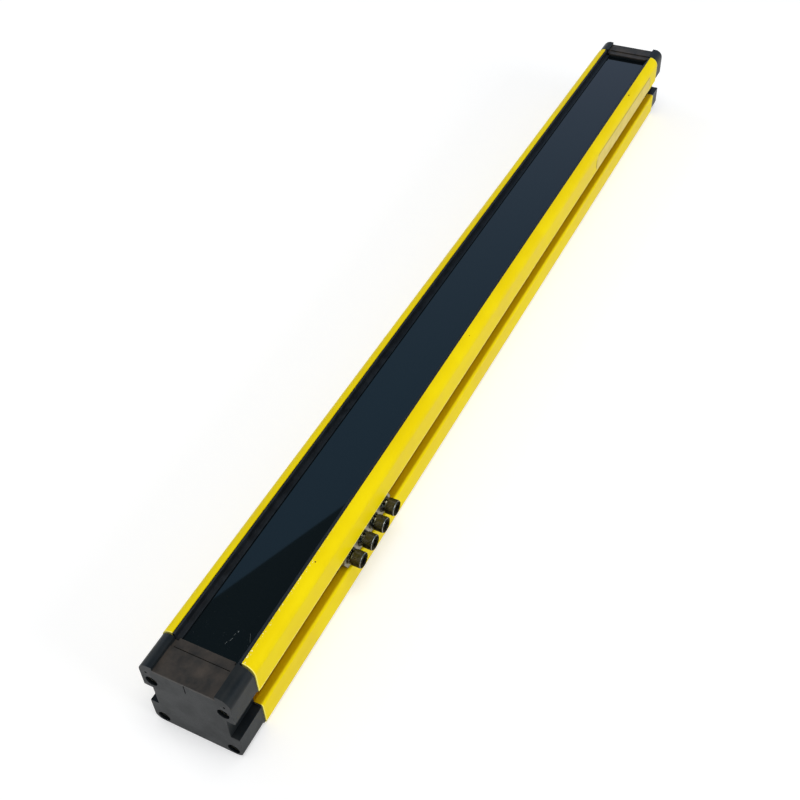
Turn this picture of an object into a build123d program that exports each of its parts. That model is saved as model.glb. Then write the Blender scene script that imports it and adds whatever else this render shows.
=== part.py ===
from build123d import *
import math
import os

# Safety light curtain, one sender or receiver bar lying on its back.
# Origin: centre of the housing's back face. +X runs along the bar towards the connector end,
# +Z points out of the front screen, millimetres.

# Housing extrusion, driving dimensions
housing_length = 586.0
housing_width = 48.0
housing_depth = 46.0
shoulder_radius = 6.0
heel_radius = 2.5
wall = 2.2
channel_half = 18.0
channel_depth = 7.6
ledge_thickness = 2.0
ledge_half = 15.5

# T-slot in each side
slot_drop = 24.3
slot_mouth = 12.0
slot_lip = 4.6
slot_room = 18.0
slot_room_depth = 4.8
slot_wall = 1.8
lip_radius = 1.5

# Screw ports for the end caps
port_upper_y = 18.5
port_upper_drop = 12.2
port_lower_y = 18.6
port_lower_z = 3.7
port_boss_radius = 2.8
port_bore_radius = 1.25
port_depth = 12.0

# Front screen and the channel seals that grip its long edges
screen_thickness = 2.1
seal_bed = 0.5
seal_side = 1.2
seal_lap = 3.5
seal_top = 1.0
seal_rim_gap = 0.4
slide_clearance = 0.1

# How far a cut runs past the face that it opens
cut_over = 1.0

# End caps and gaskets
gasket_thickness = 0.8
plain_cap_length = 17.6
connector_cap_length = 13.2
cap_inset = 0.5
cap_ridge_drop = 0.2
cap_recess_half = 16.0
cap_recess_drop = 2.0
cap_step_length = 3.8
cap_step_drop = 0.6
cap_groove_width = 0.6
cap_groove_depth = 0.8
cap_lip_reach = 0.6
cap_notch_half = 19.0
cap_notch_margin = 0.8
cap_end_wall = 4.0
cap_pocket_half = 12.5
cap_pocket_low = 4.0
cap_pocket_high = 30.0
cap_heel_radius = 4.0
cap_shoulder_radius = 5.6
locating_hole_radius = 0.6
locating_hole_y = 20.0
locating_hole_drop = 6.0
locating_hole_depth = 2.0
mould_line_length = 6.0
mould_line_width = 0.5
mould_line_depth = 0.4
mould_line_drop = 1.0

# End cap screws
cap_screw_head_radius = 2.8
cap_screw_head_height = 2.0
cap_screw_radius = 1.2
cap_screw_grip = 8.0
cap_screw_socket = 1.6
cap_screw_socket_depth = 1.2
counterbore_radius = 3.1
counterbore_depth = 3.2
clearance_hole_radius = 1.6

# Slide nut bar with its bracket screws and washers, in the right-hand slot
nut_screw_first = 85.0
nut_screw_pitch = 12.0
nut_screw_count = 4
nut_end = 6.5
nut_neck = 11.4
nut_foot = 16.0
nut_foot_depth = 3.6
nut_face_inset = 1.0
nut_bore_radius = 2.55
flat_washer_radius = 4.5
flat_washer_height = 1.0
spring_washer_radius = 4.0
spring_washer_height = 1.3
spring_washer_gap = 0.8
washer_bore_radius = 2.65
screw_radius = 2.5
screw_head_radius = 4.25
screw_head_height = 5.0
screw_head_edge = 0.4
screw_hex_flats = 4.0
screw_hex_depth = 2.5
screw_grip = 7.0

# Optics
beam_pitch = 20.0
beam_end_room = 13.0
carrier_wall = 1.6
carrier_clearance = 0.2
carrier_floor_z = 14.0
carrier_foot_room = 14.0
board_thickness = 1.6
emitter_radius = 2.5
emitter_height = 3.0
emitter_dome_radius = 2.0
tunnel_drop = 8.0
tunnel_thickness = 3.0
tunnel_hole_radius = 3.5
lens_clearance = 1.4
lens_plate_thickness = 1.6
lens_radius = 8.0
lens_dome_height = 1.4
optics_end_room = 8.0

# Electronics near the connector end
control_board_length = 120.0
control_board_half = 12.5
control_board_end_room = 40.0
spacer_radius = 2.5
spacer_height = 3.2
spacer_inset = 5.0
spacer_floor = 0.8
board_screw_radius = 1.2
board_screw_head_radius = 2.2
board_screw_head_height = 1.4
chip_height = 1.5
controller_length = 14.0
driver_length = 9.0
chip_pitch = 24.0
header_height = 4.0
header_length = 6.0
header_inset = 14.0
ribbon_width = 8.0
ribbon_thickness = 0.8
ribbon_bend = 2.0
ribbon_lean = 1.0
beam_ribbon_inset = 30.0
beam_ribbon_y = 4.0
display_length = 9.0
display_inset = 0.5
display_width = 12.0
lamp_radius = 1.5
lamp_count = 3
lamp_pitch = 6.0
lamp_inset = 2.5
earth_strip_width = 5.0
earth_strip_thickness = 0.4
earth_strip_leg = 5.0

# Connector in the far cap: a round stub with a male insert
stub_z = 20.0
stub_radius = 6.0
stub_bore_radius = 4.7
stub_neck_radius = 6.5
stub_reach = 10.0
stub_collar_radius = 8.0
stub_collar_height = 2.0
insert_recess = 9.0
contact_radius = 0.4
contact_length = 4.5
contact_count = 8
contact_circle = 2.75
contact_tail = 2.0
connector_board_thickness = 1.0

# Bare label on the right-hand side
label_end_room = 16.0
label_length = 125.0
label_width = 11.4
label_rim_gap = 0.2
label_thickness = 0.15
label_corner = 4.0

# Places worked out from the sizes above
half_length = housing_length / 2
half_width = housing_width / 2
ledge_top = housing_depth - channel_depth
slot_mid = housing_depth - slot_drop
slot_low = slot_mid - slot_mouth / 2
slot_high = slot_mid + slot_mouth / 2
room_low = slot_mid - slot_room / 2
room_high = slot_mid + slot_room / 2
room_outer = half_width - slot_lip
room_inner = room_outer - slot_room_depth
core_half = room_inner - slot_wall
core_low = room_low - slot_wall
core_high = room_high + slot_wall
screen_low = ledge_top + seal_bed
screen_high = screen_low + screen_thickness
screen_half = channel_half - seal_side - slide_clearance
port_upper_z = housing_depth - port_upper_drop
cap_half_width = half_width - cap_inset
cap_top = housing_depth - cap_ridge_drop
cap_recess_floor = housing_depth - cap_recess_drop
cap_step_floor = cap_recess_floor - cap_step_drop
locating_hole_z = housing_depth - locating_hole_drop
nut_face = half_width - nut_face_inset
carrier_half = core_half - carrier_clearance
carrier_inner = carrier_half - carrier_wall
lens_plate_z = ledge_top - ledge_thickness - lens_clearance - lens_dome_height - lens_plate_thickness
tunnel_z = lens_plate_z - tunnel_drop
optics_length = housing_length - 2 * optics_end_room
beam_count = int((optics_length - 2 * beam_end_room) // beam_pitch) + 1
beam_board_z = carrier_floor_z + carrier_wall
control_board_z = wall + spacer_height
board_screw_tip_z = wall + spacer_floor
control_board_x = half_length - control_board_end_room - control_board_length / 2
plain_face_x = -half_length - gasket_thickness - plain_cap_length
connector_face_x = half_length + gasket_thickness + connector_cap_length
connector_back_x = connector_face_x - cap_end_wall - stub_collar_height
connector_board_x = connector_back_x - contact_tail
insert_face_x = connector_face_x + stub_reach - insert_recess
label_high = housing_depth - shoulder_radius - label_rim_gap
label_low = label_high - label_width
ports = [(side * y, z) for side in (1, -1) for y, z in
         ((port_upper_y, port_upper_z), (port_lower_y, port_lower_z))]
nut_screw_places = [-half_length + nut_screw_first + i * nut_screw_pitch for i in range(nut_screw_count)]
beam_places = [(i - (beam_count - 1) / 2) * beam_pitch for i in range(beam_count)]


def box(x0, x1, y0, y1, z0, z1):
    """Solid block between two corners."""
    return Pos((x0 + x1) / 2, (y0 + y1) / 2, (z0 + z1) / 2) * Box(x1 - x0, y1 - y0, z1 - z0)


def rod(radius, start, end):
    """Round rod between two points that lie on one line along X, Y or Z."""
    run = Vector(*end) - Vector(*start)
    return extrude(Plane(start, z_dir=run) * Circle(radius), run.length)


def block(y0, y1, z0, z1):
    """Rectangle in the section plane."""
    return Pos((y0 + y1) / 2, (z0 + z1) / 2) * Rectangle(y1 - y0, z1 - z0)


def run_along(section, x0, x1):
    """Section drawn as (y, z), extruded from x0 to x1."""
    return extrude(Plane((x0, 0, 0), x_dir=(0, 1, 0), z_dir=(1, 0, 0)) * section, x1 - x0)


def round_points(face, radius, test):
    """Fillet the section's corners that pass the test."""
    corners = [v for v in face.vertices() if test(v)]
    return fillet(corners, radius)


def both_sides(y0, y1, z0, z1):
    return block(y0, y1, z0, z1) + block(-y1, -y0, z0, z1)


def body_outline(half, top, shoulder, heel):
    """Outer outline with rounded shoulders and heels."""
    face = block(-half, half, 0, top)
    face = round_points(face, shoulder, lambda v: v.Y > top / 2)
    return round_points(face, heel, lambda v: v.Y < top / 2)


def housing_section():
    face = body_outline(half_width, housing_depth, shoulder_radius, heel_radius)
    outline = face
    face -= block(-channel_half, channel_half, ledge_top, housing_depth + cut_over)
    face -= block(-ledge_half, ledge_half, ledge_top - ledge_thickness, ledge_top)
    face -= block(-half_width + wall, half_width - wall, core_high, ledge_top - ledge_thickness)
    face -= block(-core_half, core_half, core_low, core_high)
    face -= block(-half_width + wall, half_width - wall, wall, core_low)
    face -= both_sides(room_outer, half_width + cut_over, slot_low, slot_high)
    face -= both_sides(room_inner, room_outer, room_low, room_high)
    for y, z in ports:
        face += (Pos(y, z) * Circle(port_boss_radius)) & outline
    return round_points(face, lip_radius,
                        lambda v: abs(v.Y - slot_low) < 1e-6 and abs(abs(v.X) - half_width) < 1e-6)


def housing_profile():
    body = run_along(housing_section(), -half_length, half_length)
    for y, z in ports:
        for end in (-1, 1):
            mouth = end * half_length
            body -= rod(port_bore_radius, (mouth, y, z), (mouth - end * port_depth, y, z))
    return body


def front_screen():
    return box(-half_length, half_length, -screen_half, screen_half, screen_low, screen_high)


def screen_seal(side):
    """Channel-shaped strip that grips one long edge of the screen and lines the wall above it."""
    outer = channel_half - slide_clearance
    strip = block(ledge_half, outer, ledge_top, screen_low)
    strip += block(screen_half, outer, screen_low, housing_depth - seal_rim_gap)
    strip += block(channel_half - seal_lap, outer, screen_high, screen_high + seal_top)
    if side < 0:
        strip = mirror(strip, about=Plane.YZ)
    return run_along(strip, -half_length, half_length)


def cap_section():
    face = body_outline(cap_half_width, cap_top, cap_shoulder_radius, cap_heel_radius)
    notch_low = slot_low - cap_notch_margin
    notch_high = slot_high + cap_notch_margin
    return face - both_sides(cap_notch_half, half_width + cut_over, notch_low, notch_high)


def end_cap(end, face_x):
    """Moulded cap: end is -1 at the plain end and 1 at the connector end."""
    seat = end * (half_length + gasket_thickness)
    tongue_half = channel_half - seal_lap - slide_clearance
    low, high = sorted((seat, face_x))
    body = run_along(cap_section(), low, high)
    step_x = end * (half_length + gasket_thickness + cap_step_length)
    body -= box(low - cut_over, high + cut_over, -cap_recess_half, cap_recess_half,
                cap_recess_floor, housing_depth)
    x0, x1 = sorted((seat, step_x))
    body -= box(x0, x1, -cap_recess_half, cap_recess_half, cap_step_floor, housing_depth)
    groove_x = step_x - end * cap_groove_width
    x0, x1 = sorted((groove_x, step_x))
    body -= box(x0, x1, -tongue_half, tongue_half, cap_step_floor - cap_groove_depth, housing_depth)
    x0, x1 = sorted((end * (half_length - cap_lip_reach), seat))
    body += box(x0, x1, -tongue_half, tongue_half, screen_high, cap_step_floor)
    pocket_end = face_x - end * cap_end_wall
    x0, x1 = sorted((seat, pocket_end))
    body -= box(x0, x1, -cap_pocket_half, cap_pocket_half, cap_pocket_low, cap_pocket_high)
    for y, z in ports:
        body -= rod(counterbore_radius, (face_x, y, z), (face_x - end * counterbore_depth, y, z))
        body -= rod(clearance_hole_radius, (face_x, y, z), (seat, y, z))
    for side in (-1, 1):
        y = side * locating_hole_y
        body -= rod(locating_hole_radius, (face_x, y, locating_hole_z),
                    (face_x - end * locating_hole_depth, y, locating_hole_z))
    return body


def plain_end_cap():
    body = end_cap(-1, plain_face_x)
    line_top = cap_recess_floor - mould_line_drop
    half = mould_line_width / 2
    return body - box(plain_face_x, plain_face_x + mould_line_depth, -half, half,
                      line_top - mould_line_length, line_top)


def connector_end_cap():
    body = end_cap(1, connector_face_x)
    return body - rod(stub_neck_radius, (half_length, 0, stub_z), (connector_face_x + cut_over, 0, stub_z))


def end_gasket(end):
    """Flat seal cut to the housing's end, open over the core and the screws."""
    face = body_outline(cap_half_width, screen_high, heel_radius, heel_radius)
    face -= both_sides(room_outer, half_width + cut_over, slot_low, slot_high)
    face -= block(-cap_pocket_half, cap_pocket_half, cap_pocket_low, cap_pocket_high)
    for y, z in ports:
        face -= Pos(y, z) * Circle(clearance_hole_radius)
    x0, x1 = sorted((end * half_length, end * (half_length + gasket_thickness)))
    return run_along(face, x0, x1)


def cap_screw(end, y, z):
    """Small socket screw, its head seated in the cap's counterbore."""
    face_x = plain_face_x if end < 0 else connector_face_x
    seat = face_x - end * counterbore_depth
    top = seat + end * cap_screw_head_height
    screw = rod(cap_screw_head_radius, (seat, y, z), (top, y, z))
    screw -= rod(cap_screw_socket, (top, y, z), (top - end * cap_screw_socket_depth, y, z))
    return screw + rod(cap_screw_radius, (seat, y, z), (end * (half_length - cap_screw_grip), y, z))


def end_cap_screws(end):
    return Compound([cap_screw(end, y, z) for y, z in ports])


def slide_nut():
    """Tee-shaped steel bar with four tapped holes and pointed neck ends."""
    x0 = nut_screw_places[0] - nut_end
    x1 = nut_screw_places[-1] + nut_end
    low = slot_mid - nut_neck / 2
    neck = Polyline((x0, slot_mid), (x0 + nut_neck / 4, low), (x1 - nut_neck / 4, low), (x1, slot_mid),
                    (x1 - nut_neck / 4, low + nut_neck), (x0 + nut_neck / 4, low + nut_neck), close=True)
    plane = Plane((0, -nut_face, 0), x_dir=(1, 0, 0), z_dir=(0, -1, 0))
    bar = extrude(plane * make_face(neck), room_outer - nut_face)
    foot_z = slot_mid - nut_foot / 2
    bar += box(x0, x1, -room_outer, -room_outer + nut_foot_depth, foot_z, foot_z + nut_foot)
    for x in nut_screw_places:
        bar -= rod(nut_bore_radius, (x, -half_width, slot_mid), (x, -room_inner, slot_mid))
    return bar


def flat_washer(x):
    disc = rod(flat_washer_radius, (x, -nut_face, slot_mid), (x, -nut_face - flat_washer_height, slot_mid))
    return disc - rod(washer_bore_radius, (x, -nut_face, slot_mid), (x, -half_width - cut_over, slot_mid))


def spring_washer(x):
    """Split ring, with its gap towards the front."""
    start = -nut_face - flat_washer_height
    end = start - spring_washer_height
    ring = rod(spring_washer_radius, (x, start, slot_mid), (x, end, slot_mid))
    ring -= rod(washer_bore_radius, (x, start, slot_mid), (x, end, slot_mid))
    half_gap = spring_washer_gap / 2
    return ring - box(x - half_gap, x + half_gap, end, start, slot_mid, slot_mid + spring_washer_radius)


def bracket_screw(x):
    """Socket-head cap screw with a hexagon recess."""
    under = -nut_face - flat_washer_height - spring_washer_height
    top = under - screw_head_height
    head = rod(screw_head_radius, (x, under, slot_mid), (x, top, slot_mid))
    rim = head.edges().filter_by(GeomType.CIRCLE).sort_by(Axis.Y)[0]
    head = chamfer(rim, screw_head_edge)
    hexagon = RegularPolygon(screw_hex_flats / 2, 6, major_radius=False)
    head -= extrude(Plane((x, top, slot_mid), z_dir=(0, 1, 0)) * hexagon, screw_hex_depth)
    return head + rod(screw_radius, (x, under, slot_mid), (x, under + screw_grip, slot_mid))


def per_screw(maker):
    return Compound([maker(x) for x in nut_screw_places])


def optics_carrier():
    """Open channel that holds the beam board, the tunnel strip and the lens strip."""
    x = optics_length / 2
    body = box(-x, x, -carrier_half, carrier_half, carrier_floor_z, lens_plate_z)
    body -= box(-x, x, -carrier_inner, carrier_inner, beam_board_z, lens_plate_z)
    foot_end = control_board_x - control_board_length / 2 - carrier_foot_room
    for y0, y1 in ((-carrier_half, -carrier_inner), (carrier_inner, carrier_half)):
        body += box(-x, foot_end, y0, y1, wall, carrier_floor_z)
    return body


def beam_board():
    x = optics_length / 2
    return box(-x, x, -carrier_inner, carrier_inner, beam_board_z, beam_board_z + board_thickness)


def emitter(x):
    """Infrared emitter: a short can with a domed lens."""
    base = beam_board_z + board_thickness
    top = base + emitter_height
    body = rod(emitter_radius, (x, 0, base), (x, 0, top))
    return body + Pos(x, 0, top) * Sphere(emitter_dome_radius)


def tunnel_strip():
    """Stray-light strip with one hole for each beam, clipped between the carrier's walls."""
    x = optics_length / 2
    half = carrier_inner
    strip = box(-x, x, -half, half, tunnel_z, tunnel_z + tunnel_thickness)
    holes = [Pos(bx, 0, tunnel_z + tunnel_thickness / 2) * Cylinder(tunnel_hole_radius, tunnel_thickness)
             for bx in beam_places]
    return strip - holes


def lens_strip():
    """Moulded plate with one shallow dome for each beam, resting on the carrier's walls."""
    x = optics_length / 2
    top = lens_plate_z + lens_plate_thickness
    plate = box(-x, x, -carrier_half, carrier_half, lens_plate_z, top)
    sphere_radius = (lens_radius ** 2 + lens_dome_height ** 2) / (2 * lens_dome_height)
    centre = top + lens_dome_height - sphere_radius
    for bx in beam_places:
        cap = Pos(bx, 0, centre) * Sphere(sphere_radius)
        cap &= box(bx - lens_radius, bx + lens_radius, -lens_radius, lens_radius,
                   top, top + lens_dome_height)
        plate += cap
    return plate


def control_board_corners():
    x = control_board_length / 2 - spacer_inset
    y = control_board_half - spacer_inset
    return [(control_board_x + sx * x, sy * y) for sx in (-1, 1) for sy in (-1, 1)]


def control_board():
    x = control_board_length / 2
    board = box(control_board_x - x, control_board_x + x, -control_board_half, control_board_half,
                control_board_z, control_board_z + board_thickness)
    for px, py in control_board_corners():
        board -= rod(board_screw_radius + slide_clearance, (px, py, control_board_z),
                     (px, py, control_board_z + board_thickness))
    return board


def board_spacers():
    posts = []
    for px, py in control_board_corners():
        post = rod(spacer_radius, (px, py, wall), (px, py, control_board_z))
        posts.append(post - rod(board_screw_radius, (px, py, board_screw_tip_z), (px, py, control_board_z)))
    return Compound(posts)


def board_screws():
    top = control_board_z + board_thickness
    screws = []
    for px, py in control_board_corners():
        head = rod(board_screw_head_radius, (px, py, top), (px, py, top + board_screw_head_height))
        screws.append(head + rod(board_screw_radius, (px, py, board_screw_tip_z), (px, py, top)))
    return Compound(screws)


def control_chips():
    """Two controllers and a relay driver, soldered to the control board."""
    top = control_board_z + board_thickness
    chips = []
    for i, length in enumerate((controller_length, controller_length, driver_length)):
        x = control_board_x + (i - 1.5) * chip_pitch
        half = length / 2
        chips.append(box(x - half, x + half, -half, half, top, top + chip_height))
    return Compound(chips)


def ribbon_header():
    """Pin header at the connector end of the control board."""
    top = control_board_z + board_thickness
    x = control_board_x + control_board_length / 2 - header_inset
    return box(x - header_length / 2, x + header_length / 2, -ribbon_width / 2, ribbon_width / 2,
               top, top + header_height)


def ribbon(points):
    """Flat ribbon along points in the XZ plane, bent with round arcs."""
    path = FilletPolyline(*[(x, 0, z) for x, z in points], radius=ribbon_bend)
    start = Plane(path @ 0, x_dir=(0, 1, 0), z_dir=path % 0)
    return sweep(start * Rectangle(ribbon_width, ribbon_thickness), path)


def wiring_ribbon():
    """Ribbon from the control board's header up to the connector insert's back."""
    header = ribbon_header().bounding_box()
    z0 = header.max.Z - header_height / 2
    rise = half_length - optics_end_room / 2
    return ribbon([(header.max.X, z0), (rise - ribbon_lean, z0), (rise + ribbon_lean, stub_z),
                   (connector_board_x, stub_z)])


def beam_ribbon():
    """Short ribbon from the control board up to the underside of the beam board."""
    top = control_board_z + board_thickness
    x = control_board_x + control_board_length / 2 - beam_ribbon_inset
    return box(x - ribbon_width / 2, x + ribbon_width / 2, beam_ribbon_y, beam_ribbon_y + ribbon_thickness,
               top, carrier_floor_z)


def status_display():
    """Two-digit display on the beam board near the connector end, behind the screen."""
    base = beam_board_z + board_thickness
    x = optics_length / 2 - display_inset
    return box(x - display_length, x, -display_width / 2, display_width / 2, base, tunnel_z)


def status_lamps():
    base = beam_board_z + board_thickness
    x = -optics_length / 2 + lamp_inset
    places = [(i - (lamp_count - 1) / 2) * lamp_pitch for i in range(lamp_count)]
    return Compound([rod(lamp_radius, (x, y, base), (x, y, tunnel_z)) for y in places])


def earth_strip():
    """Bent bronze strip from the control board down to the bare housing floor."""
    edge = control_board_x - control_board_length / 2
    fold = edge - earth_strip_leg
    top = control_board_z + board_thickness
    half = earth_strip_width / 2
    thick = earth_strip_thickness
    strip = box(fold, edge + earth_strip_leg, -half, half, top, top + thick)
    strip += box(fold, fold + thick, -half, half, wall, top)
    return strip + box(fold - earth_strip_leg, fold, -half, half, wall, wall + thick)


def connector_shell():
    """Threaded metal stub with a collar behind the cap's end wall."""
    back = connector_face_x - cap_end_wall
    mouth = connector_face_x + stub_reach
    shell = rod(stub_neck_radius, (back, 0, stub_z), (connector_face_x, 0, stub_z))
    shell += rod(stub_radius, (connector_face_x, 0, stub_z), (mouth, 0, stub_z))
    shell += rod(stub_collar_radius, (back - stub_collar_height, 0, stub_z), (back, 0, stub_z))
    return shell - rod(stub_bore_radius, (back - stub_collar_height, 0, stub_z), (mouth, 0, stub_z))


def connector_insert():
    core = rod(stub_bore_radius, (connector_back_x, 0, stub_z), (insert_face_x, 0, stub_z))
    for y, z in contact_places():
        core -= rod(contact_radius, (connector_back_x, y, z), (insert_face_x, y, z))
    return core


def contact_places():
    turn = 2 * math.pi / contact_count
    return [(contact_circle * math.cos(i * turn), stub_z + contact_circle * math.sin(i * turn))
            for i in range(contact_count)]


def contact_pins():
    return Compound([rod(contact_radius, (connector_board_x, y, z), (insert_face_x + contact_length, y, z))
                     for y, z in contact_places()])


def connector_board():
    """Small round board that the contacts' tails are soldered through."""
    board_end = connector_board_x + connector_board_thickness
    board = rod(stub_collar_radius, (connector_board_x, 0, stub_z), (board_end, 0, stub_z))
    for y, z in contact_places():
        board -= rod(contact_radius, (connector_board_x, y, z), (connector_back_x, y, z))
    return board


def side_label():
    """Thin blank label on the flat of the right-hand side."""
    x0 = half_length - label_end_room - label_length
    middle = (x0 + label_length / 2, -half_width, (label_low + label_high) / 2)
    plane = Plane(middle, x_dir=(1, 0, 0), z_dir=(0, -1, 0))
    shape = RectangleRounded(label_length, label_high - label_low, label_corner)
    return extrude(plane * shape, label_thickness)


nodes = {
    "housing_profile": housing_profile,
    "front_screen": front_screen,
    "screen_seal_left": lambda: screen_seal(1),
    "screen_seal_right": lambda: screen_seal(-1),
    "plain_end_cap": plain_end_cap,
    "connector_end_cap": connector_end_cap,
    "plain_end_gasket": lambda: end_gasket(-1),
    "connector_end_gasket": lambda: end_gasket(1),
    "plain_end_screws": lambda: end_cap_screws(-1),
    "connector_end_screws": lambda: end_cap_screws(1),
    "slide_nut": slide_nut,
    "flat_washers": lambda: per_screw(flat_washer),
    "spring_washers": lambda: per_screw(spring_washer),
    "bracket_screws": lambda: per_screw(bracket_screw),
    "optics_carrier": optics_carrier,
    "beam_board": beam_board,
    "beam_emitters": lambda: Compound([emitter(x) for x in beam_places]),
    "tunnel_strip": tunnel_strip,
    "lens_strip": lens_strip,
    "status_display": status_display,
    "status_lamps": status_lamps,
    "control_board": control_board,
    "control_chips": control_chips,
    "ribbon_header": ribbon_header,
    "board_spacers": board_spacers,
    "board_screws": board_screws,
    "beam_ribbon": beam_ribbon,
    "wiring_ribbon": wiring_ribbon,
    "earth_strip": earth_strip,
    "connector_shell": connector_shell,
    "connector_insert": connector_insert,
    "contact_pins": contact_pins,
    "connector_board": connector_board,
    "side_label": side_label,
}

os.makedirs("parts", exist_ok=True)
for name, maker in nodes.items():
    export_step(maker(), f"parts/{name}.step")
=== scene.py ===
import math
import bpy
import bmesh
from mathutils import Matrix, Vector


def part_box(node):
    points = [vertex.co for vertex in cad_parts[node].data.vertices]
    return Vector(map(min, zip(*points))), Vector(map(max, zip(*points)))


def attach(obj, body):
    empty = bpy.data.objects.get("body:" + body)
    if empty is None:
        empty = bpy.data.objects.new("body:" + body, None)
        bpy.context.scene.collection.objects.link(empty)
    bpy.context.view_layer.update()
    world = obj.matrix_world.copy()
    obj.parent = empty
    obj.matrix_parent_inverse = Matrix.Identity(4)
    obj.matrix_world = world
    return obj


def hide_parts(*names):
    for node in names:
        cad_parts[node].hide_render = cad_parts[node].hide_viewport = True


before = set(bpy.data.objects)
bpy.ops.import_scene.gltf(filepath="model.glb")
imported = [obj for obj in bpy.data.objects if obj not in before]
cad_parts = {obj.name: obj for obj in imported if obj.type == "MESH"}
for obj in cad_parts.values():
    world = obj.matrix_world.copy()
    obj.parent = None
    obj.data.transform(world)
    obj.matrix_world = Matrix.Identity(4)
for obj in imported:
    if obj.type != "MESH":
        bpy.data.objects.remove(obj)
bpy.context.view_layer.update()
bpy.ops.object.select_all(action="DESELECT")

# The camera stands above the plain end, to the right of the bar, and looks down along it.
# Its place, its two directions and its focal length follow the photograph's perspective.
MM = 0.001
eye = Vector((-474.98, -199.13, 438.65)) * MM
ahead = Vector((0.62795, 0.33966, -0.70022)).normalized()
rightward = Vector((0.44314, -0.89569, -0.03708)).normalized()
focal_px = 1064.7
image_px = 800
film_mm = 36.0
bpy.ops.object.camera_add()
camera = bpy.context.object
upward = rightward.cross(ahead)
camera.matrix_world = Matrix.Translation(eye) @ Matrix((rightward, upward, -ahead)).transposed().to_4x4()
camera.data.sensor_width = film_mm
camera.data.lens = focal_px * film_mm / image_px
camera.data.clip_start = 20 * MM
bpy.context.scene.camera = camera
bpy.context.scene.view_settings.view_transform = "Standard"


# Housing: one length of extruded aluminium, sawn square at both ends, then powder coated yellow with a
# faint orange peel. Handling has chipped the right-hand rim near the plain end and left a few dark
# specks. Painted shade darkens the inside of the slots, and a painted highlight lies as a pale band along
# the sawn ends and the slots' upper lips.
def linear(hex_colour):
    """sRGB hex colour to the linear values that a shader takes."""
    parts = [int(hex_colour[i:i + 2], 16) / 255 for i in (1, 3, 5)]
    return [c / 12.92 if c <= 0.04045 else ((c + 0.055) / 1.055) ** 2.4 for c in parts] + [1.0]


def add(tree, kind, links=None, values=None, **settings):
    """Adds one node with its settings, socket values and incoming links, and gives it back."""
    node = tree.nodes.new(kind)
    for name, value in settings.items():
        setattr(node, name, value)
    for key, value in (values or {}).items():
        node.inputs[key].default_value = value
    for key, socket in (links or {}).items():
        tree.links.new(socket, node.inputs[key])
    return node


def new_material(name, hex_colour, roughness, metallic=0.0, ior=1.5):
    """A material with its Principled shader and its Object coordinates."""
    material = bpy.data.materials.new(name)
    material.use_nodes = True
    tree = material.node_tree
    shader = tree.nodes["Principled BSDF"]
    shader.inputs["Base Color"].default_value = linear(hex_colour)
    shader.inputs["Roughness"].default_value = roughness
    shader.inputs["Metallic"].default_value = metallic
    if not metallic:
        shader.inputs["IOR"].default_value = ior
    place = add(tree, "ShaderNodeTexCoord").outputs["Object"]
    return material, tree, shader, place


def speckle(tree, place, size_mm, low, high, detail=4.0):
    """Noise of that grain size, spread to a mask between 0 and 1."""
    noise = add(tree, "ShaderNodeTexNoise", {"Vector": place},
                {"Scale": 1 / (size_mm * MM), "Detail": detail, "Roughness": 0.6})
    mask = add(tree, "ShaderNodeMapRange", {"Value": noise.outputs["Fac"]},
               {"From Min": low, "From Max": high})
    return mask.outputs["Result"]


def all_of(tree, *masks):
    """Where every mask holds."""
    held = masks[0]
    for mask in masks[1:]:
        held = add(tree, "ShaderNodeMath", {0: held, 1: mask}, operation="MULTIPLY").outputs[0]
    return held


def any_of(tree, *masks):
    """Where at least one mask holds."""
    held = masks[0]
    for mask in masks[1:]:
        held = add(tree, "ShaderNodeMath", {0: held, 1: mask}, operation="MAXIMUM").outputs[0]
    return held


def band(tree, value, low, high):
    """Where the value lies between low and high."""
    above = add(tree, "ShaderNodeMath", {0: value}, {1: low}, operation="GREATER_THAN")
    below = add(tree, "ShaderNodeMath", {0: value}, {1: high}, operation="LESS_THAN")
    return all_of(tree, above.outputs[0], below.outputs[0])


def marks(tree, place, rows):
    """Short straight marks on a flat top, each as x, y, turn, length and width, in mm and radians."""
    found = []
    for x, y, turn, length, width in rows:
        centred = add(tree, "ShaderNodeMapping", {"Vector": place}, {"Location": (-x * MM, -y * MM, 0)})
        turned = add(tree, "ShaderNodeMapping", {"Vector": centred.outputs[0]}, {"Rotation": (0, 0, turn)})
        ends = add(tree, "ShaderNodeSeparateXYZ", {"Vector": turned.outputs[0]}).outputs
        found.append(all_of(tree, band(tree, ends["X"], -length / 2 * MM, length / 2 * MM),
                            band(tree, ends["Y"], -width / 2 * MM, width / 2 * MM)))
    return any_of(tree, *found)


def paint(tree, socket, ground, *layers):
    """Lays colours over the ground colour, one after another, each where its mask holds."""
    under = None
    for mask, colour in layers:
        mix = add(tree, "ShaderNodeMix", {"Factor": mask}, data_type="RGBA")
        first, second = [s for s in mix.inputs if s.type == "RGBA"]
        first.default_value = linear(ground)
        second.default_value = linear(colour)
        if under:
            tree.links.new(under, first)
        under = [s for s in mix.outputs if s.type == "RGBA"][0]
    tree.links.new(under, socket)


def texture(tree, shader, gloss=None, relief=None):
    """Roughness as a mask with its low and high, and relief as a mask with its depth in mm and strength."""
    if gloss:
        mask, low, high = gloss
        spread = add(tree, "ShaderNodeMapRange", {"Value": mask}, {"To Min": low, "To Max": high})
        tree.links.new(spread.outputs["Result"], shader.inputs["Roughness"])
    if relief:
        mask, depth_mm, strength = relief
        bump = add(tree, "ShaderNodeBump", {"Height": mask},
                   {"Distance": depth_mm * MM, "Strength": strength})
        tree.links.new(bump.outputs["Normal"], shader.inputs["Normal"])


def dress(node, material):
    """Gives a CAD node its finish."""
    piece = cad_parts[node]
    for slot in piece.material_slots:
        slot.material = material


weld = 0.002 * MM
coplanar_deg = 0.5
sharp_deg = 38
smooth_deg = 30


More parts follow.
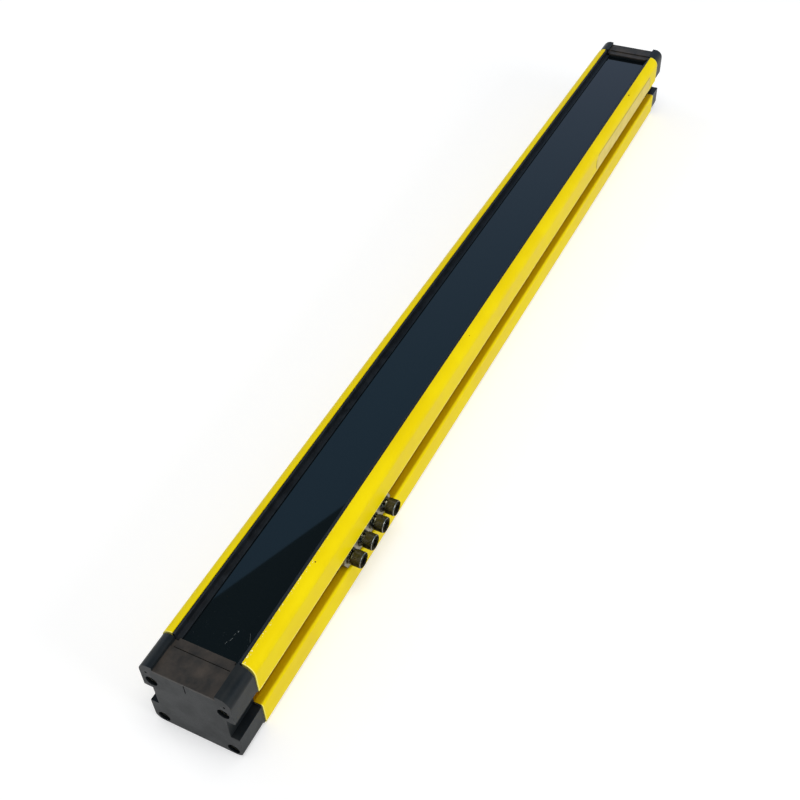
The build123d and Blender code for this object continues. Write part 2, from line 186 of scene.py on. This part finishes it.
def eased_copy(node, name, radius_mm, material):
    """Copy of a CAD piece with its sharp edges broken, as a mould or a tumbled cut leaves them."""
    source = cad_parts[node]
    bpy.ops.object.select_all(action="DESELECT")
    piece = bpy.data.objects.new(name, source.data.copy())
    bpy.context.scene.collection.objects.link(piece)
    bpy.context.view_layer.objects.active = piece
    piece.select_set(True)
    bpy.ops.object.mode_set(mode="EDIT")
    bpy.ops.mesh.select_all(action="SELECT")
    bpy.ops.mesh.remove_doubles(threshold=weld)
    bpy.ops.mesh.dissolve_limited(angle_limit=math.radians(coplanar_deg))
    bpy.ops.object.mode_set(mode="OBJECT")
    ease = piece.modifiers.new("ease", "BEVEL")
    ease.width = radius_mm * MM
    ease.segments = 2
    ease.limit_method = "ANGLE"
    ease.angle_limit = math.radians(sharp_deg)
    bpy.ops.object.modifier_apply(modifier="ease")
    bpy.ops.object.shade_smooth_by_angle(angle=math.radians(smooth_deg))
    flats = piece.modifiers.new("flats", "WEIGHTED_NORMAL")
    flats.keep_sharp = True
    bpy.ops.object.modifier_apply(modifier="flats")
    piece.data.materials.clear()
    piece.data.materials.append(material)
    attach(piece, "root")
    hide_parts(node)


peel_mm = 1.1
cloud_mm = 34.0
chip_mm = 0.9
sawn_break_mm = 0.25
rim_skin = 0.9 * MM
inner_rim = (-19.2 * MM, -17.6 * MM)
chipped_from, chipped_to = -205 * MM, -250 * MM
slot_height = (11.8 * MM, 31.2 * MM)
slot_shade_from, slot_shade_to = 23.5 * MM, 22.6 * MM
upper_lip = (27.5 * MM, 28.25 * MM)
flank = (23.4 * MM, 24.5 * MM)
sawn_edge = 0.4 * MM
dark_specks = ((231.8, -20.3, 0.3, 1.5, 0.8), (-233.3, -20.0, 0.0, 0.7, 0.6),
               (-60.0, -21.0, 0.5, 0.6, 0.4))
coat, tree, shader, place = new_material("powder_coat_baked", "#EBD200", 0.4, ior=1.13)
peel = speckle(tree, place, peel_mm, 0.3, 0.7, 2.0)
cloud = speckle(tree, place, cloud_mm, 0.35, 0.65, 2.0)
axes = add(tree, "ShaderNodeSeparateXYZ", {"Vector": place}).outputs
bar_low, bar_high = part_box("housing_profile")
rim_top = band(tree, axes["Z"], bar_high.z - rim_skin, bar_high.z + rim_skin)
by_plain_end = add(tree, "ShaderNodeMapRange", {"Value": axes["X"]},
                   {"From Min": chipped_from, "From Max": chipped_to}).outputs["Result"]
chip_spots = speckle(tree, place, chip_mm, 0.635, 0.655, 1.0)
chips = all_of(tree, rim_top, band(tree, axes["Y"], *inner_rim), chip_spots, by_plain_end)
specks = all_of(tree, rim_top, marks(tree, place, dark_specks))
outward = add(tree, "ShaderNodeMath", {0: axes["Y"]}, operation="ABSOLUTE").outputs[0]
inside = add(tree, "ShaderNodeMapRange", {"Value": outward},
             {"From Min": slot_shade_from, "From Max": slot_shade_to}).outputs["Result"]
# Painted shade: the inside of the slots turns a darker brown-yellow towards the back.
painted_slot_shade = all_of(tree, band(tree, axes["Z"], *slot_height), band(tree, axes["X"], bar_low.x, bar_high.x),
               inside)
# Painted highlight: a pale band along the slots' upper lips and across both sawn ends.
painted_edge_highlight = any_of(tree, all_of(tree, band(tree, axes["Z"], *upper_lip), band(tree, outward, *flank)),
              band(tree, axes["X"], bar_low.x - sawn_edge, bar_low.x + sawn_edge),
              band(tree, axes["X"], bar_high.x - sawn_edge, bar_high.x + sawn_edge))
paint(tree, shader.inputs["Base Color"], "#E7CD00", (cloud, "#EED700"), (chips, "#FFF6B8"),
      (specks, "#5E3410"), (painted_edge_highlight, "#FFF276"), (painted_slot_shade, "#CBA800"))
texture(tree, shader, gloss=(cloud, 0.34, 0.46), relief=(peel, 0.03, 0.5))
eased_copy("housing_profile", "housing", sawn_break_mm, coat)

# Front screen: a long strip of dark tinted acrylic, cast and polished, slid in between the seals.
# It is smooth enough to mirror what stands over it, with fine scratches and dust near the plain end.
dust_mm = 0.5
dust_patch_mm = 7.0
dust_from, dust_to = -262 * MM, -292 * MM
fine_scratches = ((-277.7, -5.8, 0.0, 0.8, 0.5), (-279.6, -5.1, 0.2, 1.2, 0.16),
                  (-282.4, -5.1, 0.3, 1.8, 0.18), (-284.8, -3.9, 0.1, 1.4, 0.16),
                  (-278.3, -12.3, -0.5, 4.5, 0.1))
screen_finish, tree, shader, place = new_material("tinted_acrylic_polished", "#070B0E", 0.04, ior=1.49)
axes = add(tree, "ShaderNodeSeparateXYZ", {"Vector": place}).outputs
by_plain_end = add(tree, "ShaderNodeMapRange", {"Value": axes["X"]},
                   {"From Min": dust_from, "From Max": dust_to}).outputs["Result"]
dust = all_of(tree, speckle(tree, place, dust_mm, 0.71, 0.76, 1.0), by_plain_end,
              speckle(tree, place, dust_patch_mm, 0.45, 0.6, 1.0))
haze = any_of(tree, marks(tree, place, fine_scratches), dust)
paint(tree, shader.inputs["Base Color"], "#070B0E", (haze, "#565A58"))
texture(tree, shader, gloss=(haze, 0.02, 0.4))
dress("front_screen", screen_finish)

# Screen seals: black channel strips extruded in rubber, which grip the screen's long edges
# and line the housing's walls up to the rims. They are dull, with dust in the corners.
bloom_mm = 6.0
drag_mm = 0.5
seal_edge_mm = 0.18
rubber, tree, shader, place = new_material("rubber_extruded", "#0C1014", 0.5, ior=1.4)
bloom = speckle(tree, place, bloom_mm, 0.4, 0.7)
drag = speckle(tree, place, drag_mm, 0.3, 0.7)
paint(tree, shader.inputs["Base Color"], "#0A0D11", (bloom, "#12171C"))
texture(tree, shader, gloss=(bloom, 0.40, 0.56), relief=(drag, 0.02, 0.4))
for node in ("screen_seal_left", "screen_seal_right"):
    eased_copy(node, node + "_strip", seal_edge_mm, rubber)
for node in ("plain_end_gasket", "connector_end_gasket"):
    dress(node, rubber)

# End caps: moulded in black glass-filled nylon, each held by four screws sunk in its face.
# The mould left a fine spark-eroded grain, which looks dull grey where the light falls on it,
# and brown dust lies in the recess on top.
grain_mm = 0.35
blotch_mm = 11.0
brown_dust_mm = 7.0
moulded_edge_mm = 0.4
recess_height = (42.5 * MM, 44.2 * MM)
recess_width = (-15.9 * MM, 15.9 * MM)
nylon, tree, shader, place = new_material("nylon_moulded_grain", "#191D20", 0.4, ior=1.2)
grain = speckle(tree, place, grain_mm, 0.3, 0.7, 2.0)
blotch = speckle(tree, place, blotch_mm, 0.4, 0.66)
axes = add(tree, "ShaderNodeSeparateXYZ", {"Vector": place}).outputs
dusty = all_of(tree, band(tree, axes["Z"], *recess_height), band(tree, axes["Y"], *recess_width),
               speckle(tree, place, brown_dust_mm, 0.15, 0.75, 3.0))
paint(tree, shader.inputs["Base Color"], "#171C1F", (blotch, "#212425"), (dusty, "#47403A"))
texture(tree, shader, gloss=(blotch, 0.34, 0.46), relief=(grain, 0.02, 0.45))
for node in ("plain_end_cap", "connector_end_cap"):
    eased_copy(node, node + "_moulding", moulded_edge_mm, nylon)

# End cap screws: small socket screws in black oxide steel, seated at the bottom of the sunk holes.
# The oxide is a thin dark film, so the edges still gleam.
film_mm = 1.6
turned_edge_mm = 0.1
oxide, tree, shader, place = new_material("steel_black_oxide", "#34332A", 0.32, metallic=1.0)
shader.inputs["Specular Tint"].default_value = linear("#8C8C84")
film = speckle(tree, place, film_mm, 0.35, 0.7)
paint(tree, shader.inputs["Base Color"], "#403F37", (film, "#56534A"))
texture(tree, shader, gloss=(film, 0.28, 0.46))
for node in ("plain_end_screws", "connector_end_screws"):
    eased_copy(node, node + "_turned", turned_edge_mm, oxide)

# Slide nut: a tee-shaped bar milled in zinc-plated steel, tapped four times and slid into the side slot.
# Plating and milling leave it a flat grey with faint lines along the bar.
mill_mm = 0.25
mill_stretch = 20
milled_edge_mm = 0.2
zinc, tree, shader, place = new_material("steel_zinc_plated_milled", "#8F8B7E", 0.4, metallic=0.8)
drawn_out = add(tree, "ShaderNodeMapping", {"Vector": place}, {"Scale": (1 / mill_stretch, 1.0, 1.0)})
mill = speckle(tree, drawn_out.outputs["Vector"], mill_mm, 0.3, 0.7)
paint(tree, shader.inputs["Base Color"], "#7E7969", (mill, "#9C9788"))
texture(tree, shader, gloss=(mill, 0.34, 0.5), relief=(mill, 0.02, 0.4))
eased_copy("slide_nut", "slide_nut_bar", milled_edge_mm, zinc)

# Washers: a flat washer and a split spring washer under each bracket screw, stamped and coiled in steel.
# Their black oxide is worn through in spots where they have turned against each other; the bright spots are
# also painted highlights.
scuff_glint_mm = 1.3
worn_glinting_oxide, tree, shader, place = new_material("steel_black_oxide_worn_glinting", "#55544C", 0.26, metallic=1.0)
scuffs_and_glints = speckle(tree, place, scuff_glint_mm, 0.46, 0.62, 2.0)
# Bright spots: partly worn-through oxide, partly painted highlights.
paint(tree, shader.inputs["Base Color"], "#35342D", (scuffs_and_glints, "#989689"))
texture(tree, shader, gloss=(scuffs_and_glints, 0.2, 0.36))
for node in ("flat_washers", "spring_washers"):
    eased_copy(node, node + "_turned", turned_edge_mm, worn_glinting_oxide)

# Bracket screws: four M5 socket-head cap screws, cold headed and knurled round the head.
# Each is turned down on a spring washer and a flat washer against the slide nut. The chamfer round the
# rim of the head is given a painted highlight, a brighter flecked steel all the way round.
screw_count = 4
head_radius = 4.25 * MM
head_height = 5.0 * MM
knurl_count = 36
knurl_depth = 0.14 * MM
socket_flats = 4.0 * MM
socket_ring = 1.13 * socket_flats / 2
socket_depth = 2.5 * MM
rim_ease = 0.32 * MM
shank_radius = 2.5 * MM
touching = 0.001 * MM
first_turn = 0.4
next_turn = 1.1
facing = 0.9
rim_highlight_slope = (-0.95, -0.3)
rim_highlight_reach = 1.2 * rim_ease
rim_highlight_spot_mm = 0.7
screw_smooth_deg = 25


def select_faces(piece, test):
    """Leaves only the faces that pass the test selected, in edit mode."""
    bpy.ops.mesh.select_mode(type="FACE")
    bpy.ops.mesh.select_all(action="DESELECT")
    mesh = bmesh.from_edit_mesh(piece.data)
    mesh.normal_update()
    for face in mesh.faces:
        if test(face):
            face.select_set(True)
    bmesh.update_edit_mesh(piece.data)


def finish_piece(piece, name, material, smooth_deg):
    """Puts the piece's place in its mesh and gives it its finish, body and slot."""
    bpy.context.view_layer.objects.active = piece
    bpy.ops.object.select_all(action="DESELECT")
    piece.select_set(True)
    bpy.ops.object.transform_apply(location=True, rotation=True, scale=True)
    bpy.ops.object.mode_set(mode="EDIT")
    bpy.ops.mesh.select_all(action="SELECT")
    bpy.ops.mesh.remove_doubles(threshold=0.0001 * MM)
    bpy.ops.mesh.normals_make_consistent(inside=False)
    bpy.ops.object.mode_set(mode="OBJECT")
    bpy.ops.object.shade_smooth_by_angle(angle=math.radians(smooth_deg))
    piece.name = name
    piece.data.materials.clear()
    piece.data.materials.append(material)
    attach(piece, "root")


screw_low, screw_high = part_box("bracket_screws")
nut_low, nut_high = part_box("slide_nut")
screw_axis_z = (nut_low.z + nut_high.z) / 2
first_screw_x = screw_low.x + head_radius
screw_pitch = (screw_high.x - screw_low.x - 2 * head_radius) / (screw_count - 1)
head_under_y = screw_low.y + head_height
shank_length = screw_high.y - head_under_y
bpy.ops.mesh.primitive_cylinder_add(vertices=2 * knurl_count, radius=head_radius, depth=head_height,
                                    end_fill_type="NGON", location=(0, 0, 0))
screw = bpy.context.object
bpy.ops.object.mode_set(mode="EDIT")
select_faces(screw, lambda f: f.normal.z > facing)
bpy.ops.mesh.inset(thickness=rim_ease, depth=0)
mesh = bmesh.from_edit_mesh(screw.data)
for vert in mesh.verts:
    if abs(vert.co.xy.length - head_radius) < touching and vert.co.z > 0:
        vert.co.z -= rim_ease
bmesh.update_edit_mesh(screw.data)
select_faces(screw, lambda f: f.normal.z > facing)
bpy.ops.mesh.inset(thickness=head_radius - rim_ease - socket_ring, depth=0)
mesh = bmesh.from_edit_mesh(screw.data)
socket_mouth = [f for f in mesh.faces if f.select][0]
for vert in socket_mouth.verts:
    turn = math.atan2(vert.co.y, vert.co.x)
    wedge = (turn % (math.pi / 3)) - math.pi / 6
    reach = socket_flats / 2 / math.cos(wedge)
    vert.co.x, vert.co.y = reach * math.cos(turn), reach * math.sin(turn)
bmesh.update_edit_mesh(screw.data)
bpy.ops.mesh.extrude_region_move(TRANSFORM_OT_translate={"value": (0, 0, -socket_depth)})
select_faces(screw, lambda f: f.normal.z < -facing)
bpy.ops.mesh.inset(thickness=head_radius - shank_radius, depth=0)
bpy.ops.mesh.extrude_region_move(TRANSFORM_OT_translate={"value": (0, 0, -shank_length)})
mesh = bmesh.from_edit_mesh(screw.data)
for vert in mesh.verts:
    spoke = round(math.atan2(vert.co.y, vert.co.x) / math.pi * knurl_count)
    if spoke % 2 and abs(vert.co.xy.length - head_radius) < touching:
        vert.co.xy *= 1 - knurl_depth / head_radius
bmesh.update_edit_mesh(screw.data)
bpy.ops.object.mode_set(mode="OBJECT")
# The cylinder's top points up; turned a quarter about X it faces out of the slot, towards -Y.
screw.data.transform(Matrix.Rotation(math.pi / 2, 4, "X"))
# Painted highlight: a brighter flecked steel for the rim chamfer of each head.
painted_rim_highlight, tree, shader, place = new_material("steel_painted_rim_highlight", "#7A776E", 0.3, metallic=1.0)
rim_highlight_spots = speckle(tree, place, rim_highlight_spot_mm, 0.35, 0.65)
paint(tree, shader.inputs["Base Color"], "#55534B", (rim_highlight_spots, "#A19E95"))
turned_screws = []
for i in range(screw_count):
    copy = bpy.data.objects.new("bracket_screw", screw.data.copy())
    bpy.context.scene.collection.objects.link(copy)
    screw_x = first_screw_x + i * screw_pitch
    turn = Matrix.Rotation(first_turn + next_turn * i, 4, "Y")
    copy.data.transform(Matrix.Translation((screw_x, head_under_y - head_height / 2, screw_axis_z)) @ turn)
    finish_piece(copy, f"bracket_screw_{i + 1}", oxide, screw_smooth_deg)
    copy.data.materials.append(painted_rim_highlight)
    # The faces of the rim chamfer take the painted highlight.
    for face in copy.data.polygons:
        out = Vector((face.center.x - screw_x, face.center.z - screw_axis_z)).length
        if rim_highlight_slope[0] < face.normal.y < rim_highlight_slope[1] and out > head_radius - rim_highlight_reach:
            face.material_index = 1
    turned_screws.append(copy)
for copy in turned_screws:
    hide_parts("bracket_screws")
bpy.data.objects.remove(screw)

# Side label: a blank strip of pale matte film, die cut with round corners and stuck on the flange.
# A thin dark line is painted along its top edge and both ends.
mottle_mm = 9.0
tooth_mm = 0.6
edge_line_width = 0.35 * MM
film_finish, tree, shader, place = new_material("polyester_film_matte", "#DFCB62", 0.62)
mottle = speckle(tree, place, mottle_mm, 0.35, 0.65)
tooth = speckle(tree, place, tooth_mm, 0.3, 0.7)
label_low, label_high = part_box("side_label")
axes = add(tree, "ShaderNodeSeparateXYZ", {"Vector": place}).outputs
# A thin dark line along the label's top edge and both ends.
outline = any_of(tree, band(tree, axes["Z"], label_high.z - edge_line_width, label_high.z + edge_line_width),
                 band(tree, axes["X"], label_low.x - edge_line_width, label_low.x + edge_line_width),
                 band(tree, axes["X"], label_high.x - edge_line_width, label_high.x + edge_line_width))
paint(tree, shader.inputs["Base Color"], "#D8C254", (mottle, "#E2CC68"), (outline, "#8C7A24"))
texture(tree, shader, relief=(tooth, 0.01, 0.3))
dress("side_label", film_finish)

# Connector: a nickel-plated brass stub with an M12 thread, a black insert and gold-plated contacts.
# The thread is cut along the stub, with a plain chamfer at the mouth.
thread_pitch = 1.0 * MM
thread_turns = 8
ridge_half = 0.45 * MM
ridge_sink = 0.1 * MM
ridge_start = 0.9 * MM
collar_length = 2.0 * MM
threaded_length = 10.0 * MM
crest_radius = 6.0 * MM
core_radius = 5.45 * MM
bore_radius = 4.7 * MM
neck_radius = 6.5 * MM
chamfer_length = 0.5 * MM
chamfer_depth = 0.4 * MM
stub_steps = 64
thread_steps = 40
stub_smooth_deg = 35
nickel_wear_mm = 2.0
gold_wear_mm = 0.8
fleck_mm = 0.7
nickel, tree, shader, place = new_material("brass_nickel_plated", "#BDB8AC", 0.24, metallic=1.0)
wear = speckle(tree, place, nickel_wear_mm, 0.4, 0.7)
paint(tree, shader.inputs["Base Color"], "#B2AC9E", (wear, "#C8C4BA"))
texture(tree, shader, gloss=(wear, 0.18, 0.34))
shell_low, shell_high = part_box("connector_shell")
collar_radius = (shell_high.z - shell_low.z) / 2
collar_x = shell_low.x + collar_length
mouth_x = shell_high.x
face_x = mouth_x - threaded_length
stub_outline = [(shell_low.x, bore_radius), (shell_low.x, collar_radius), (collar_x, collar_radius),
                (collar_x, neck_radius), (face_x, neck_radius), (face_x, core_radius),
                (mouth_x - chamfer_length, core_radius), (mouth_x, core_radius - chamfer_depth),
                (mouth_x, bore_radius)]
ridge_x = face_x + ridge_start
ridge_outline = [(ridge_x - ridge_half, core_radius - ridge_sink), (ridge_x, crest_radius),
                 (ridge_x + ridge_half, core_radius - ridge_sink)]


def profile_piece(name, points):
    """A ring drawn out to a closed outline of (x, radius) points beside the X axis, ready to turn."""
    bpy.ops.object.select_all(action="DESELECT")
    bpy.ops.mesh.primitive_circle_add(vertices=len(points), radius=MM, fill_type="NOTHING",
                                      location=(0, 0, 0))
    piece = bpy.context.object
    piece.name = name
    for vert, (x, radius) in zip(piece.data.vertices, points):
        vert.co = (x, 0, radius)
    return piece


shell = profile_piece("connector_stub", stub_outline)
bpy.ops.object.mode_set(mode="EDIT")
bpy.ops.mesh.select_all(action="SELECT")
bpy.ops.mesh.spin(steps=stub_steps, angle=2 * math.pi, center=(0, 0, 0), axis=(1, 0, 0))
bpy.ops.mesh.select_all(action="SELECT")
bpy.ops.mesh.remove_doubles(threshold=touching)
bpy.ops.object.mode_set(mode="OBJECT")
ridge = profile_piece("thread_ridge", ridge_outline)
wind = ridge.modifiers.new("wind", "SCREW")
wind.axis = "X"
wind.angle = 2 * math.pi
wind.screw_offset = thread_pitch
wind.iterations = thread_turns
wind.steps = wind.render_steps = thread_steps
wind.use_merge_vertices = True
wind.merge_threshold = touching
bpy.ops.object.modifier_apply(modifier="wind")
bpy.ops.object.mode_set(mode="EDIT")
bpy.ops.mesh.select_mode(type="VERT")
bpy.ops.mesh.select_all(action="DESELECT")
bpy.ops.mesh.select_non_manifold()
bpy.ops.mesh.edge_face_add()
bpy.ops.object.mode_set(mode="OBJECT")
shell.select_set(True)
bpy.context.view_layer.objects.active = shell
bpy.ops.object.join()
shell.location = (0, 0, (shell_low.z + shell_high.z) / 2)
finish_piece(shell, "connector_stub", nickel, stub_smooth_deg)
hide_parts("connector_shell")
gold, tree, shader, place = new_material("brass_gold_plated", "#D8B45C", 0.25, metallic=1.0)
wear = speckle(tree, place, gold_wear_mm, 0.4, 0.7)
paint(tree, shader.inputs["Base Color"], "#CDA94E", (wear, "#E2C172"))
for node in ("contact_pins", "earth_strip", "board_spacers"):
    dress(node, gold)
insert_finish, tree, shader, place = new_material("pbt_moulded_black", "#15171A", 0.38)
fleck = speckle(tree, place, fleck_mm, 0.35, 0.7)
paint(tree, shader.inputs["Base Color"], "#121417", (fleck, "#1E2125"))
for node in ("connector_insert", "status_display", "control_chips", "ribbon_header"):
    dress(node, insert_finish)

# Boards: glass-epoxy laminate under a green solder mask, with the control board low in the housing
# and the long beam board in the carrier. The mask shows the weave as a faint check.
weave_mm = 0.8
mask_finish, tree, shader, place = new_material("epoxy_board_masked", "#1D5A30", 0.35)
weave = add(tree, "ShaderNodeTexChecker", {"Vector": place}, {"Scale": 1 / (weave_mm * MM)})
paint(tree, shader.inputs["Base Color"], "#1A552C", (weave.outputs["Fac"], "#236438"))
for node in ("beam_board", "control_board", "connector_board"):
    dress(node, mask_finish)

# Optics and inner plastics: the carrier and the stray-light strip are black moulded nylon,
# the lenses, emitters and lamps clear moulded acrylic, and the ribbons grey PVC.
flow_mm = 5.0
conductor_mm = 1.27
for node in ("optics_carrier", "tunnel_strip"):
    dress(node, nylon)
clear, tree, shader, place = new_material("acrylic_clear_moulded", "#C9D0D4", 0.08, ior=1.49)
flow = speckle(tree, place, flow_mm, 0.35, 0.65)
paint(tree, shader.inputs["Base Color"], "#C2CACE", (flow, "#D4DADE"))
for node in ("lens_strip", "beam_emitters", "status_lamps"):
    dress(node, clear)
pvc, tree, shader, place = new_material("pvc_ribbon_ribbed", "#8B8C8E", 0.5)
ribs = add(tree, "ShaderNodeTexWave", {"Vector": place}, {"Scale": 1 / (2 * conductor_mm * MM)},
           bands_direction="Y")
paint(tree, shader.inputs["Base Color"], "#77787A", (ribs.outputs["Fac"], "#9A9B9D"))
for node in ("beam_ribbon", "wiring_ribbon"):
    dress(node, pvc)
dress("board_screws", zinc)

# Floor: a wide sheet of pale matt paper under the bar, which keeps a soft shadow of it.
# It glows a little to the camera and in what the bar mirrors, so that it shows white there.
floor_size = 12.0
floor_drop = 0.2 * MM
floor_glow = 0.42
bpy.ops.object.select_all(action="DESELECT")
bpy.ops.mesh.primitive_plane_add(size=floor_size, location=(0, 0, -floor_drop))
ground = bpy.context.object
ground.name = "studio_floor"
paper = bpy.data.materials.new("paper_white_matt")
paper.use_nodes = True
tree = paper.node_tree
sheet = tree.nodes["Principled BSDF"]
sheet.inputs["Base Color"].default_value = linear("#D6D6D6")
sheet.inputs["Roughness"].default_value = 0.9
sheet.inputs["Emission Color"].default_value = linear("#FFFFFF")


def seen_directly(tree):
    """1 for rays from the camera and for what metal or glass shows, else 0."""
    path = add(tree, "ShaderNodeLightPath").outputs
    return any_of(tree, path["Is Camera Ray"], path["Is Glossy Ray"], path["Is Transmission Ray"])


lift = add(tree, "ShaderNodeMapRange", {"Value": seen_directly(tree)},
           {"To Min": 0.0, "To Max": floor_glow})
tree.links.new(lift.outputs["Result"], sheet.inputs["Emission Strength"])
ground.data.materials.append(paper)


# Light: a broad soft lamp overhead, a lower one on the right, a weak one on the left, and a pale room.
# The room shows white, and cards overhead, which only polished surfaces mirror, give the screen its
# slate blue and the darker patch by the plain end.
def soft_lamp(name, place, size, power):
    """Square area lamp that looks at the bar's middle."""
    bpy.ops.object.light_add(type="AREA", location=place)
    lamp = bpy.context.object
    lamp.name = name
    lamp.data.size = size
    lamp.data.energy = power
    lamp.rotation_euler = (-Vector(place)).to_track_quat("-Z", "Y").to_euler()


def mirrored_card(name, colours, length, width, centre, turn=0.0):
    """Card that neither lights nor shades the bar; its colour changes along X from one to the other."""
    bpy.ops.mesh.primitive_plane_add(size=1.0, location=centre, rotation=(0, 0, turn))
    card = bpy.context.object
    card.name = name
    card.scale = (length, width, 1.0)
    bpy.ops.object.transform_apply(location=True, rotation=True, scale=True)
    card.visible_camera = card.visible_diffuse = card.visible_shadow = card.visible_transmission = False
    finish = bpy.data.materials.new(name + "_cloth")
    finish.use_nodes = True
    tree = finish.node_tree
    place = add(tree, "ShaderNodeTexCoord").outputs["Object"]
    axes = add(tree, "ShaderNodeSeparateXYZ", {"Vector": place}).outputs
    reach = add(tree, "ShaderNodeMapRange", {"Value": axes["X"]},
                {"From Min": colour_change_from, "From Max": colour_change_to})
    cloth = tree.nodes["Principled BSDF"]
    cloth.inputs["Base Color"].default_value = linear("#000000")
    cloth.inputs["Emission Strength"].default_value = 1.0
    paint(tree, cloth.inputs["Emission Color"], colours[0], (reach.outputs["Result"], colours[1]))
    card.data.materials.append(finish)


colour_change_from, colour_change_to = 2.0, 4.6
night_card_turn = math.atan2(-0.379, 1.0)
room_level = 0.38
room_white = 1.0
soft_lamp("top_softbox", (-0.25, -0.25, 1.9), 1.1, 15)
soft_lamp("right_softbox", (-0.2, -1.9, 0.6), 1.0, 17)
soft_lamp("left_softbox", (0.2, 1.6, 1.0), 1.0, 6)
mirrored_card("slate_canopy", ("#7BABD0", "#90A8C8"), 24.0, 24.0, (0, 0, 2.4))
mirrored_card("night_card", ("#3E5A64", "#3E5A64"), 3.4, 3.0, (0.38, -0.12, 2.38), night_card_turn)
room = bpy.data.worlds.new("pale_room")
room.use_nodes = True
bpy.context.scene.world = room
tree = room.node_tree
glow = tree.nodes["Background"]
glow.inputs["Color"].default_value = linear("#FFFFFF")
level = add(tree, "ShaderNodeMapRange", {"Value": seen_directly(tree)},
            {"To Min": room_level, "To Max": room_white})
tree.links.new(level.outputs["Result"], glow.inputs["Strength"])
